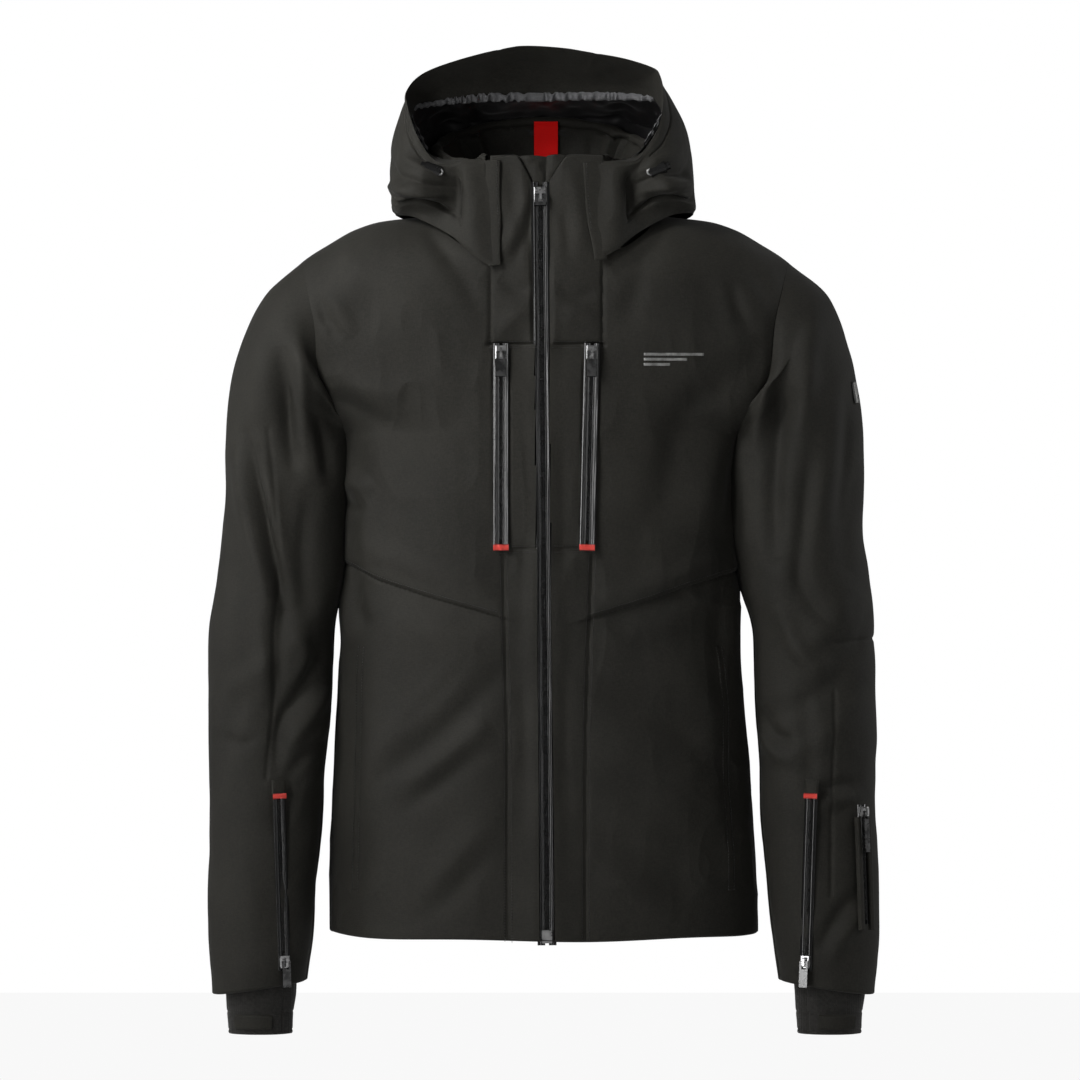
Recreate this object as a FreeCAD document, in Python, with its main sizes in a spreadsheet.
import FreeCAD, Part
import math
import os
import Sketcher

App = FreeCAD
Vector = App.Vector
Rotation = App.Rotation
Placement = App.Placement

# A padded ski jacket as worn, zipped up and hanging by the loop inside its collar.
# Millimetres. X runs to the wearer's left, Y to the back, Z up. The origin is the point of the
# hanger loop that rests on a hook, at the centre of the back neck.

doc = App.newDocument("ski_jacket")
sheet = doc.addObject("Spreadsheet::Sheet", "Sizes")

# ------------------------------------------------------------------ driving dimensions

# Garment sections: height, half width, front and back of an ellipse, and lean, the share of a
# wall's thickness that goes downwards where the surface turns over (0 on an upright wall).
TORSO = {
    "hem": (-806, 212, -200, 40, 0),
    "hip": (-650, 207, -190, 36, 0),
    "waist": (-480, 199, -179, 33, 0),
    "rib": (-380, 198, -172, 34, 0),
    "armpit": (-305, 200, -167.6, 36, 0),
    "blade": (-262, 250, -165, 37, 0),
    "chest": (-216, 292, -162, 37, 0),
    "shoulder": (-165, 275, -158.6, 33, 0.3),
    "slope": (-128, 238, -156.4, 26, 0.6),
    "yoke": (-108, 200, -155, 20, 0.8),
    "trapeze": (-92, 165, -154, 17, 0.9),
    "neck": (-86, 117, -153.6, 12, 0.9),
}
HOOD = {
    "seam": (-82, 152, -165, 20, 0),
    "cheek": (-50, 150, -166, 38, 0),
    "ear": (-12, 148, -172, 52, 0),
    "temple": (36, 134, -184, 56, 0.2),
    "brow": (60, 115, -184, 44, 0.5),
    "crown": (76, 67, -146, -14, 0.8),
    "top": (83, 24, -103, -57, 1),
}
# Sleeve sections: fan angle from upright, half width across the arm, half depth, and centre.
SLEEVE = {
    "armhole": (14.5, 86, 68, -222, -74, -220),
    "cap": (31, 76, 66, -240.5, -74, -236),
    "deltoid": (46, 65.5, 63, -249, -74, -255),
    "bicep": (63, 58, 57, -254.5, -74, -276),
    "axilla": (90, 55, 54.5, -257, -75, -305),
    "upper_arm": (90, 56.5, 56, -260.5, -75, -380),
    "triceps": (90, 60, 58, -265, -76, -450),
    "elbow": (90, 59.5, 58, -273, -78, -510),
    "forearm": (90, 58.5, 57, -273, -83, -570),
    "mid_forearm": (90, 56.5, 55, -275.5, -90, -630),
    "low_forearm": (90, 55, 54, -277, -96, -690),
    "wrist": (90, 51.5, 50, -280, -101, -750),
    "cuff": (90, 50, 48, -281.5, -104, -800),
    "sleeve_hem": (90, 47, 46, -283, -107, -860),
}
UPPER_SLEEVE = ("armhole", "cap", "deltoid", "bicep", "axilla", "upper_arm", "triceps", "elbow")
LOWER_SLEEVE = ("elbow", "forearm", "mid_forearm", "low_forearm", "wrist", "cuff", "sleeve_hem")

DIMENSIONS = {
    "shell_thickness": 3,
    "padding_thickness": 5,
    "lining_thickness": 2,
    "layer_gap": 0.4,
    "part_gap": 0.6,
    "shoulder_seam_depth": -64,
    "side_seam_depth": -60,
    "armhole_angle": 14.5,
    "armpit_across": 197,
    "armpit_height": -305,
    "elbow_height": -510,
    "elbow_depth": -66,
    "elbow_bend": 45,
    "collar_half_width": 113,
    "collar_front": -151.5,
    "collar_back": 9,
    "collar_thickness": 5,
    "collar_base_height": -84.5,
    "collar_back_height": 12,
    "collar_slope": 15.5,
    "hood_opening_half_width": 124,
    "hood_opening_half_height": 58,
    "hood_opening_height": -20,
    "hood_front_gap": 66,
    "hood_panel_half_width": 52,
    "storm_cuff_radius": 34,
    "storm_cuff_bore_radius": 32,
    "storm_cuff_length": 58,
    "storm_cuff_end": -900,
    "placket_half_width": 45,
    "zip_slot_half_width": 8.4,
    "yoke_height": -465,
    "yoke_rise": 16,
    "back_yoke_height": -270,
}

aliases = {}


def store(alias, value):
    """Put one driving dimension in the sheet, under its alias."""
    row = len(aliases) + 1
    sheet.set(f"A{row}", alias)
    sheet.set(f"B{row}", str(value))
    sheet.setAlias(f"B{row}", alias)
    aliases[alias] = value


def size(alias):
    return float(sheet.get(alias))


for level, (height, half_width, front, back, lean) in TORSO.items():
    store(f"torso_{level}_height", height)
    store(f"torso_{level}_half_width", half_width)
    store(f"torso_{level}_front", front)
    store(f"torso_{level}_back", back)
for level, (height, half_width, front, back, lean) in HOOD.items():
    store(f"hood_{level}_height", height)
    store(f"hood_{level}_half_width", half_width)
    store(f"hood_{level}_front", front)
    store(f"hood_{level}_back", back)
for level, (angle, half_width, half_depth, across, depth, height) in SLEEVE.items():
    store(f"sleeve_{level}_angle", angle)
    store(f"sleeve_{level}_half_width", half_width)
    store(f"sleeve_{level}_half_depth", half_depth)
    store(f"sleeve_{level}_across", across)
    store(f"sleeve_{level}_depth", depth)
    store(f"sleeve_{level}_height", height)
for name, value in DIMENSIONS.items():
    store(name, value)
doc.recompute()

SHELL = size("shell_thickness")
GAP = size("layer_gap")
PADDING_OUT = SHELL + GAP
PADDING_IN = PADDING_OUT + size("padding_thickness")
LINING_OUT = PADDING_IN + GAP
LINING_IN = LINING_OUT + size("lining_thickness")
BIG = 1200

nodes = []


def node(obj, label):
    """Name an object as a finished sub-part."""
    obj.Label = label
    nodes.append(obj)
    return obj


# ------------------------------------------------------------------ helpers


def cut(name, base, tool):
    obj = doc.addObject("Part::Cut", name)
    obj.Base = base
    obj.Tool = tool
    obj.Refine = False
    return obj


def common(name, base, tool):
    obj = doc.addObject("Part::Common", name)
    obj.Base = base
    obj.Tool = tool
    obj.Refine = False
    return obj


def fuse(name, shapes):
    obj = doc.addObject("Part::MultiFuse", name)
    obj.Shapes = shapes
    obj.Refine = False
    return obj


def box(name, low, high):
    """A box between two corners."""
    obj = doc.addObject("Part::Box", name)
    obj.Length, obj.Width, obj.Height = [b - a for a, b in zip(low, high)]
    obj.Placement = Placement(Vector(*low), Rotation())
    return obj


def loft(name, sections):
    obj = doc.addObject("Part::Loft", name)
    obj.Sections = sections
    obj.Solid = True
    obj.Ruled = True
    return obj


def level_ellipse(name, prefix, level, inset, lean, lift=0):
    """A horizontal section of the torso or hood, moved in by inset along its surface normal."""
    side = math.sqrt(1 - lean**2)
    key = f"Sizes.{prefix}_{level}"
    obj = doc.addObject("Part::Ellipse", name)
    obj.setExpression("MajorRadius", f"{key}_half_width - {inset * side}")
    obj.setExpression("MinorRadius", f"({key}_back - {key}_front) / 2 - {inset * side}")
    obj.setExpression("Placement.Base.y", f"({key}_back + {key}_front) / 2")
    obj.setExpression("Placement.Base.z", f"{key}_height - {inset * lean} + {lift}")
    return obj


def level_stack(name, prefix, table, inset, open_ends=()):
    """The solid inside a garment surface, inset from it; open ends run past the garment."""
    sections = []
    levels = list(table)
    for level in levels:
        lean = table[level][4]
        sections.append(level_ellipse(f"{name}_{level}", prefix, level, inset, lean))
    if "bottom" in open_ends:
        sections.insert(0, level_ellipse(f"{name}_below", prefix, levels[0], inset, 0, -20))
    if "top" in open_ends:
        last = levels[-1]
        sections.append(level_ellipse(f"{name}_above", prefix, last, inset, table[last][4], 20))
    return loft(name, sections)


def sleeve_ellipse(name, side, level, inset, slide=0):
    """A section of a sleeve, across the arm at its fan angle; slide moves it along the arm."""
    key = f"Sizes.sleeve_{level}"
    angle = SLEEVE[level][0]
    along = Vector(-side * math.cos(math.radians(angle)), 0, math.sin(math.radians(angle)))
    obj = doc.addObject("Part::Ellipse", name)
    obj.setExpression("MajorRadius", f"{key}_half_width - {inset}")
    obj.setExpression("MinorRadius", f"{key}_half_depth - {inset}")
    obj.Placement = Placement(Vector(), Rotation(Vector(0, 1, 0), side * angle - 90))
    obj.setExpression("Placement.Base.x", f"{-side} * {key}_across + {along.x * slide}")
    obj.setExpression("Placement.Base.y", f"{key}_depth")
    obj.setExpression("Placement.Base.z", f"{key}_height + {along.z * slide}")
    return obj


def sleeve_tube(name, side, levels, outer, inner, top_gap, bottom_gap):
    """A sleeve stretch between two insets; the gaps shorten it at each end."""
    ends = {levels[0]: -top_gap, levels[-1]: bottom_gap}
    skin = [sleeve_ellipse(f"{name}_o_{lv}", side, lv, outer, ends.get(lv, 0)) for lv in levels]
    hollow = [sleeve_ellipse(f"{name}_i_{lv}", side, lv, inner) for lv in levels]
    hollow.insert(0, sleeve_ellipse(f"{name}_i_start", side, levels[0], inner, 6))
    hollow.append(sleeve_ellipse(f"{name}_i_end", side, levels[-1], inner, -6))
    return cut(name, loft(name + "_skin", skin), loft(name + "_hollow", hollow))


def sketch_of(body, name, outline, plane="XY_Plane"):
    """A closed polygon sketch on one of the body's origin planes."""
    sketch = body.newObject("Sketcher::SketchObject", name)
    planes = [f for f in body.Origin.OriginFeatures if f.Role == plane]
    sketch.AttachmentSupport = [(planes[0], "")]
    sketch.MapMode = "FlatFace"
    points = [Vector(x, y, 0) for x, y in outline]
    for i, point in enumerate(points):
        sketch.addGeometry(Part.LineSegment(point, points[(i + 1) % len(points)]), False)
    for i in range(len(points)):
        sketch.addConstraint(Sketcher.Constraint("Coincident", i, 2, (i + 1) % len(points), 1))
    return sketch


def rectangle(x0, y0, x1, y1):
    return [(x0, y0), (x1, y0), (x1, y1), (x0, y1)]


def pad(body, name, sketch, length, midplane=False):
    obj = body.newObject("PartDesign::Pad", name)
    obj.Profile = sketch
    obj.Length = length
    obj.Midplane = midplane
    return obj


def prism(name, outline, length, plane="XY_Plane"):
    """A body padded both ways from an origin plane."""
    body = doc.addObject("PartDesign::Body", name)
    pad(body, name + "_pad", sketch_of(body, name + "_outline", outline, plane), length, True)
    return body


def armhole_side(name, side):
    """The quarter space outside an armhole's plane and above the armpit."""
    angle = size("armhole_angle")
    low, high = (-BIG, 0) if side < 0 else (0, BIG)
    obj = box(name, (0, -BIG / 2, low), (BIG, BIG / 2, high))
    turn = Rotation(Vector(0, 1, 0), 180 - angle if side < 0 else angle)
    edge = Vector(side * size("armpit_across"), 0, size("armpit_height"))
    obj.Placement = Placement(edge + turn.multVec(Vector(0, -BIG / 2, low)), turn)
    return obj


def track(top, bottom, spin=0):
    """The placement of a zip: Z up along it, -Y out of the garment."""
    up = (Vector(*top) - Vector(*bottom)).normalize()
    out = Rotation(Vector(0, 0, 1), spin).multVec(Vector(0, -1, 0))
    across = up.cross(out).normalize()
    out = across.cross(up)
    matrix = App.Matrix(across.x, -out.x, up.x, top[0], across.y, -out.y, up.y, top[1],
                        across.z, -out.z, up.z, top[2], 0, 0, 0, 1)
    return Placement(matrix)


# ------------------------------------------------------------------ zips

FRONT_TOP = (-5, -150, -34)
FRONT_BOTTOM = (2, -199.2, -802)
ZIPS = {
    # name: top, bottom, spin about Z, tape half width, coil half width, coil height
    "front": (FRONT_TOP, FRONT_BOTTOM, 0, 8, 3.2, 2.6),
    "right_chest": ((-43.5, -162, -216), (-43.5, -173.8, -415), 0, 7, 2.6, 2.2),
    "left_chest": ((46.5, -162, -216), (41.5, -173.8, -415), 0, 7, 2.6, 2.2),
    "right_cuff": ((-263, -152.2, -673), (-258, -149.9, -836), 22, 5.5, 2.4, 2.0),
    "left_cuff": ((263, -152.2, -673), (258, -149.9, -836), -22, 5.5, 2.4, 2.0),
    "forearm_pocket": ((313, -142, -672), (317, -146, -790), 42, 4.5, 2.0, 1.6),
}
TAPE = 1


def frame_of(zip_name):
    top, bottom, spin = ZIPS[zip_name][:3]
    return track(top, bottom, spin), (Vector(*top) - Vector(*bottom)).Length


def strip(name, zip_name, half_width, proud, sunk, start, end):
    """A flat bar along a zip: sunk and proud are its back and front faces' depths."""
    place, length = frame_of(zip_name)
    obj = doc.addObject("Part::Box", name)
    obj.Length = 2 * half_width
    obj.Width = sunk + proud
    obj.Height = end - start
    obj.Placement = place * Placement(Vector(-half_width, -proud, -end), Rotation())
    return obj


def closed_zip(label, zip_name):
    """Tape and coil of a pocket or cuff zip, in one piece."""
    length = frame_of(zip_name)[1]
    tape_half, coil_half, coil_height = ZIPS[zip_name][3:]
    tape = strip(label + "_tape", zip_name, tape_half, TAPE, 0, 0, length)
    coil = strip(label + "_coil", zip_name, coil_half, TAPE + coil_height, -TAPE / 2, 2, length - 2)
    return node(fuse(label, [tape, coil]), label)


def slider(label, zip_name, at, coil_half, coil_height, scale, base=TAPE):
    """A slider riding over the coil, with the bridge that holds its pull."""
    body = doc.addObject("PartDesign::Body", label)
    half = 5.5 * scale
    channel = coil_half + 0.9
    low = -(base + 0.4)
    roof = -(base + coil_height + 0.5)
    top = roof - 1.4
    outline = [(-half, low), (-channel, low), (-channel, roof), (channel, roof), (channel, low),
               (half, low), (half, top + 1), (half - 1, top), (-half + 1, top), (-half, top + 1)]
    shell = pad(body, label + "_shell", sketch_of(body, label + "_section", outline), 13 * scale, True)
    bridge = [(top + 0.2, -4.6), (top - 4.4, -4.6), (top - 5.2, -3.6), (top - 5.2, 3.6),
              (top - 4.4, 4.6), (top + 0.2, 4.6), (top + 0.2, 3.3), (top - 3.8, 3.3),
              (top - 3.8, -3.3), (top + 0.2, -3.3)]
    pad(body, label + "_bridge", sketch_of(body, label + "_arch", bridge, "YZ_Plane"), 2.4, True)
    body.Placement = frame_of(zip_name)[0] * Placement(Vector(0, 0, -at), Rotation())
    node(body, label)
    return top


def zip_pull(label, zip_name, at, top, width, length, thickness=2):
    """A pull whose crossbar hangs in the slider's bridge, at the body's own origin."""
    body = doc.addObject("PartDesign::Body", label)
    half = width / 2
    eye = 2.3
    plate = [(-half, -length), (half, -length), (half, 0.9), (-half, 0.9)]
    pad(body, label + "_plate", sketch_of(body, label + "_outline", plate, "XZ_Plane"), thickness, True)
    window = body.newObject("PartDesign::Pocket", label + "_window")
    opening = rectangle(-eye, -7.2, eye, -0.9)
    window.Profile = sketch_of(body, label + "_eye", opening, "XZ_Plane")
    window.Type = 1
    window.Midplane = True
    place = frame_of(zip_name)[0] * Placement(Vector(0, top - 2.0, -at), Rotation())
    body.Placement = place
    return node(body, label)


# ------------------------------------------------------------------ torso

torso_skin = {depth: level_stack(f"torso_skin_{i}", "torso", TORSO, depth)
              for i, depth in enumerate((0, PADDING_OUT, LINING_OUT))}
torso_hollow = {depth: level_stack(f"torso_hollow_{i}", "torso", TORSO, depth, ("bottom", "top"))
                for i, depth in enumerate((SHELL, PADDING_IN, LINING_IN))}

slot = strip("front_slot", "front", size("zip_slot_half_width"), 40, 60, -60, 900)
torso_cutters = [armhole_side("right_armhole_cutter", -1),
                 armhole_side("left_armhole_cutter", 1), slot]


def torso_layer(name, outer, inner):
    """A wall of the torso between two depths, open at the armholes and the front zip."""
    wall = cut(name + "_wall", torso_skin[outer], torso_hollow[inner])
    for cutter in torso_cutters:
        wall = cut(f"{name}_less_{cutter.Name}", wall, cutter)
    return wall


shell = torso_layer("torso_shell", 0, SHELL)
node(torso_layer("torso_padding", PADDING_OUT, PADDING_IN), "torso_padding")
node(torso_layer("torso_lining", LINING_OUT, LINING_IN), "torso_lining")

SEAM = size("shoulder_seam_depth")
PLACKET = size("placket_half_width")
YOKE = size("yoke_height")
RISE = size("yoke_rise")
BACK_YOKE = size("back_yoke_height")

# Shell panels: a vertical outline across X and Z, padded through the front or the back half.
PANELS = {
    "right_chest_panel": ([(-PLACKET, YOKE - RISE), (-300, YOKE + 4 * RISE), (-300, 0),
                           (-PLACKET, 0)], "front"),
    "left_chest_panel": ([(PLACKET, YOKE - RISE), (300, YOKE + 4 * RISE), (300, 0),
                          (PLACKET, 0)], "front"),
    "right_lower_front": ([(-PLACKET, YOKE - RISE), (-300, YOKE + 4 * RISE), (-300, -900),
                           (-PLACKET, -900)], "front"),
    "left_lower_front": ([(PLACKET, YOKE - RISE), (300, YOKE + 4 * RISE), (300, -900),
                          (PLACKET, -900)], "front"),
    "right_placket_band": (rectangle(-PLACKET, -900, 0, 0), "front"),
    "left_placket_band": (rectangle(0, -900, PLACKET, 0), "front"),
    "back_yoke": (rectangle(-300, BACK_YOKE, 300, 0), "back"),
    "back_panel": (rectangle(-300, -900, 300, BACK_YOKE), "back"),
}
for label, (outline, half) in PANELS.items():
    cutter = prism(label + "_cutter", outline, 400, "XZ_Plane")
    shift = SEAM - 200 if half == "front" else SEAM + 200
    cutter.Placement = Placement(Vector(0, shift, 0), Rotation())
    node(common(label, shell, cutter), label)

# ------------------------------------------------------------------ collar


def collar_solid(name, inset, low, high):
    obj = doc.addObject("Part::Ellipse", name + "_section")
    obj.setExpression("MajorRadius", f"Sizes.collar_half_width - {inset}")
    obj.setExpression("MinorRadius", f"(Sizes.collar_back - Sizes.collar_front) / 2 - {inset}")
    obj.setExpression("Placement.Base.y", "(Sizes.collar_back + Sizes.collar_front) / 2")
    obj.Placement.Base.z = low
    tube = doc.addObject("Part::Extrusion", name)
    tube.Base = obj
    tube.Dir = Vector(0, 0, 1)
    tube.LengthFwd = high - low
    tube.Solid = True
    return tube


COLLAR = size("collar_thickness")
BASE = size("collar_base_height")
RIM = size("collar_back_height")
above_collar = box("above_collar", (0, 0, 0), (400, 500, 200))
slope = Rotation(Vector(1, 0, 0), size("collar_slope"))
above_collar.Placement = Placement(Vector(-200, size("collar_back"), RIM) + slope.multVec(Vector(0, -400, 0)),
                                   slope)
collar_tools = fuse("collar_tools", [above_collar, slot])
for label, outer, inner in (("collar", 0, COLLAR / 2), ("collar_lining", COLLAR / 2 + 0.2, COLLAR)):
    ring = cut(label + "_ring", collar_solid(label + "_outer", outer, BASE, 60),
               collar_solid(label + "_inner", inner, BASE - 10, 70))
    node(cut(label, ring, collar_tools), label)

# ------------------------------------------------------------------ front zip

FRONT_LENGTH = frame_of("front")[1]
for side, label in ((-1, "right_zip_tape"), (1, "left_zip_tape")):
    tape = strip(label, "front", 3.7, -1, 2, 0, FRONT_LENGTH)
    tape.Placement = tape.Placement * Placement(Vector(side * 4.1, 0, 0), Rotation())
    node(tape, label)
node(strip("zip_coil", "front", 3.2, 1.6, -0.9, 2, FRONT_LENGTH - 9), "zip_coil")
node(strip("zip_bottom_box", "front", 5, 2.6, -0.9, FRONT_LENGTH - 8.8, FRONT_LENGTH + 4), "zip_bottom_box")
flap = strip("storm_flap", "front", 17, -14, 16, 4, FRONT_LENGTH - 6)
node(flap, "storm_flap")
FRONT_AT = 35
slider_top = slider("front_zip_slider", "front", FRONT_AT, 3.2, 2.6, 1.15, -1)
zip_pull("front_zip_pull", "front", FRONT_AT, slider_top, 11, 10.5)

# ------------------------------------------------------------------ chest, cuff and sleeve zips

CHEST_AT = 9
for side in ("right", "left"):
    closed_zip(side + "_chest_zip", side + "_chest")
    slider_top = slider(side + "_chest_zip_slider", side + "_chest", CHEST_AT, 2.6, 2.2, 1)
    zip_pull(side + "_chest_zip_pull", side + "_chest", CHEST_AT, slider_top, 9.5, 24)
    closed_zip(side + "_cuff_zip", side + "_cuff")
    end = frame_of(side + "_cuff")[1] - 9
    slider_top = slider(side + "_cuff_zip_slider", side + "_cuff", end, 2.4, 2.0, 0.9)
    zip_pull(side + "_cuff_zip_pull", side + "_cuff", end, slider_top, 8.5, 25)
closed_zip("forearm_pocket_zip", "forearm_pocket")
slider_top = slider("forearm_zip_slider", "forearm_pocket", 7, 2.0, 1.6, 0.72)
zip_pull("forearm_zip_pull", "forearm_pocket", 7, slider_top, 6.5, 40, 1.6)

# ------------------------------------------------------------------ small torso pieces

welt_spots = {"right_hand_pocket_welt": -1, "left_hand_pocket_welt": 1}
for label, side in welt_spots.items():
    welt = doc.addObject("Part::Box", label)
    welt.Length, welt.Width, welt.Height = 14, 2.5, 230
    lean_out = Rotation(Vector(0, 0, 1), side * 52) * Rotation(Vector(1, 0, 0), -1.5)
    welt.Placement = Placement(Vector(side * 192, -129.5, -760), lean_out) * Placement(
        Vector(-7, -2.5, 0), Rotation())
    node(welt, label)

# The hood's two front ends, bound and sewn down over the collar onto the chest.
binding_parts = []
for side in (-1, 1):
    top, bottom = (side * 57, -143.5, -36), (side * 57, -158, -128)
    binding = doc.addObject("Part::Box", f"binding_{'left' if side > 0 else 'right'}")
    binding.Length, binding.Width, binding.Height = 12, 3.5, (Vector(*top) - Vector(*bottom)).Length
    binding.Placement = track(top, bottom) * Placement(Vector(-6, -3.5, -binding.Height.Value), Rotation())
    binding_parts.append(binding)
node(fuse("hood_bindings", binding_parts), "hood_bindings")

mark = doc.addObject("Part::Box", "chest_mark")
mark.Length, mark.Width, mark.Height = 64, 1.2, 20
mark.Placement = Placement(Vector(127, -153.5, -239), Rotation(Vector(0, 0, 1), 9.5)) * Placement(
    Vector(-32, -1.2, 0), Rotation())
node(mark, "chest_mark")

label_tag = box("neck_label", (-11, -3.2, -30), (13, -2.2, 3))
node(label_tag, "neck_label")

# Hanger loop: a tape arch sewn into the collar's lining; a hook bears on its underside.
loop = doc.addObject("PartDesign::Body", "hanger_loop")
arch = [(-30, -22), (-30, 0), (-27, 3), (27, 3), (30, 0), (30, -22), (27, -22), (27, 0), (-27, 0),
        (-27, -22)]
pad(loop, "loop_arch", sketch_of(loop, "loop_outline", arch, "XZ_Plane"), 2, True)
node(loop, "hanger_loop")

# ------------------------------------------------------------------ sleeves

ELBOW = size("elbow_height")
PIVOT = size("elbow_depth")
OPEN = math.tan(math.radians(size("elbow_bend") / 2 + 1.5))
NOTCH = 100
for side, name in ((-1, "right"), (1, "left")):
    notch = prism(name + "_elbow_notch", [(PIVOT, ELBOW), (PIVOT - NOTCH, ELBOW + NOTCH * OPEN),
                                          (PIVOT - NOTCH, ELBOW - NOTCH * OPEN)], 1000, "YZ_Plane")
    gap = size("part_gap")
    layers = (("sleeve", 0, SHELL), ("sleeve_lining", SHELL + 1.2, SHELL + 5.2))
    for kind, outer, inner in layers:
        upper = sleeve_tube(f"{name}_upper_{kind}_tube", side, UPPER_SLEEVE, outer, inner, gap, gap)
        lower = sleeve_tube(f"{name}_lower_{kind}_tube", side, LOWER_SLEEVE, outer, inner, gap, 0)
        node(cut(f"{name}_upper_{kind}", upper, notch), f"{name}_upper_{kind}")
        node(cut(f"{name}_lower_{kind}", lower, notch), f"{name}_lower_{kind}")
    cuff_axis = (side * -size("sleeve_sleeve_hem_across"), size("sleeve_sleeve_hem_depth"))
    cylinders = []
    for part, radius, extra in (("skin", "storm_cuff_radius", 0), ("bore", "storm_cuff_bore_radius", 5)):
        obj = doc.addObject("Part::Cylinder", f"{name}_storm_cuff_{part}")
        obj.setExpression("Radius", "Sizes." + radius)
        obj.setExpression("Height", f"Sizes.storm_cuff_length + {2 * extra}")
        obj.Placement.Base = Vector(cuff_axis[0], cuff_axis[1], size("storm_cuff_end") - extra)
        cylinders.append(obj)
    node(cut(f"{name}_storm_cuff", *cylinders), f"{name}_storm_cuff")

# ------------------------------------------------------------------ hood

HOOD_SHELL = 4
hood_skin = [level_stack(f"hood_{i}", "hood", HOOD, inset, ends)
             for i, (inset, ends) in enumerate(((0, ()), (HOOD_SHELL, ("bottom",)),
                                                (HOOD_SHELL + 0.4, ()), (HOOD_SHELL + 2.4, ("bottom",))))]
face = doc.addObject("Part::Ellipse", "face_outline")
face.setExpression("MajorRadius", "Sizes.hood_opening_half_width")
face.setExpression("MinorRadius", "Sizes.hood_opening_half_height")
face.Placement = Placement(Vector(0, -230, size("hood_opening_height")), Rotation(Vector(1, 0, 0), 90))
face_cutter = doc.addObject("Part::Extrusion", "face_cutter")
face_cutter.Base = face
face_cutter.Dir = Vector(0, 1, 0)
face_cutter.LengthFwd = 145
face_cutter.Solid = True
front_gap = size("hood_front_gap")
throat = box("throat_cutter", (-front_gap, -230, -100), (front_gap, -85, -20))
hood_opening = fuse("hood_opening", [face_cutter, throat])
hood_shell = cut("hood_shell", cut("hood_wall", hood_skin[0], hood_skin[1]), hood_opening)
half = size("hood_panel_half_width")
for label, low, high in (("right_hood_side", -300, -half), ("left_hood_side", half, 300)):
    node(common(label, hood_shell, box(label + "_cutter", (low, -300, -100), (high, 200, 100))), label)
BRIM_SEAM = -120
crown_box = box("hood_crown_cutter", (-half, BRIM_SEAM, -100), (half, 200, 100))
node(common("hood_centre_panel", hood_shell, crown_box), "hood_centre_panel")
brim_box = box("hood_brim_cutter", (-half, -300, -100), (half, BRIM_SEAM, 100))
node(common("hood_brim", hood_shell, brim_box), "hood_brim")
node(cut("hood_lining", cut("hood_lining_wall", hood_skin[2], hood_skin[3]), hood_opening), "hood_lining")

# The gathered elastic tape lines the brim's lower edge; it follows the opening's top arc.
tape_outer = doc.addObject("Part::Cylinder", "elastic_outer")
tape_outer.Radius, tape_outer.Height = 122, 12
tape_inner = doc.addObject("Part::Cylinder", "elastic_inner")
tape_inner.Radius, tape_inner.Height = 120, 30
for obj, drop in ((tape_outer, 0), (tape_inner, 6)):
    obj.Placement = Placement(Vector(0, -50, 24 - drop), Rotation())
tape_ring = cut("elastic_ring", tape_outer, tape_inner)
tape_front = box("elastic_front", (-88, -200, 0), (88, -60, 80))
node(common("hood_elastic_tape", tape_ring, tape_front), "hood_elastic_tape")

# Cord locks: a housing across the hood's front edge, with a sprung plunger in its end.
housings = []
LOCK = (104, -145, -46)
for side, name in ((-1, "right"), (1, "left")):
    barrel = doc.addObject("Part::Cylinder", name + "_lock_barrel")
    barrel.Radius, barrel.Height = 6, 16
    well = doc.addObject("Part::Cylinder", name + "_lock_well")
    well.Radius, well.Height = 4.4, 13
    axis = Rotation(Vector(0, 0, 1), Vector(side * 0.94, 0, 0.34))
    seat = Placement(Vector(side * LOCK[0], LOCK[1], LOCK[2]), axis)
    barrel.Placement = seat
    well.Placement = seat * Placement(Vector(0, 0, 4), Rotation())
    housings.append(cut(name + "_lock_housing", barrel, well))
    plunger = doc.addObject("Part::Cylinder", name + "_cord_lock_button")
    plunger.Radius, plunger.Height = 4, 11
    plunger.Placement = seat * Placement(Vector(0, 0, 9.5), Rotation())
    node(plunger, name + "_cord_lock_button")
node(fuse("cord_lock_housings", housings), "cord_lock_housings")

# ------------------------------------------------------------------ check and write

doc.recompute()
for obj in doc.Objects:
    if "Invalid" in obj.State or "Error" in obj.State:
        raise RuntimeError(f"{obj.Label} failed: {obj.State}")
for obj in nodes:
    if obj.Shape.isNull() or not obj.Shape.isValid():
        raise RuntimeError(f"{obj.Label} has no valid shape")
os.makedirs("parts", exist_ok=True)
for old in os.listdir("parts"):
    if old.endswith(".step"):
        os.remove(os.path.join("parts", old))
for obj in nodes:
    obj.Shape.exportStep(os.path.join("parts", obj.Label + ".step"))
    print(f"{obj.Label:28s} solids {len(obj.Shape.Solids)} volume {obj.Shape.Volume / 1000:9.2f} cm3")
print(len(nodes), "sub-parts")
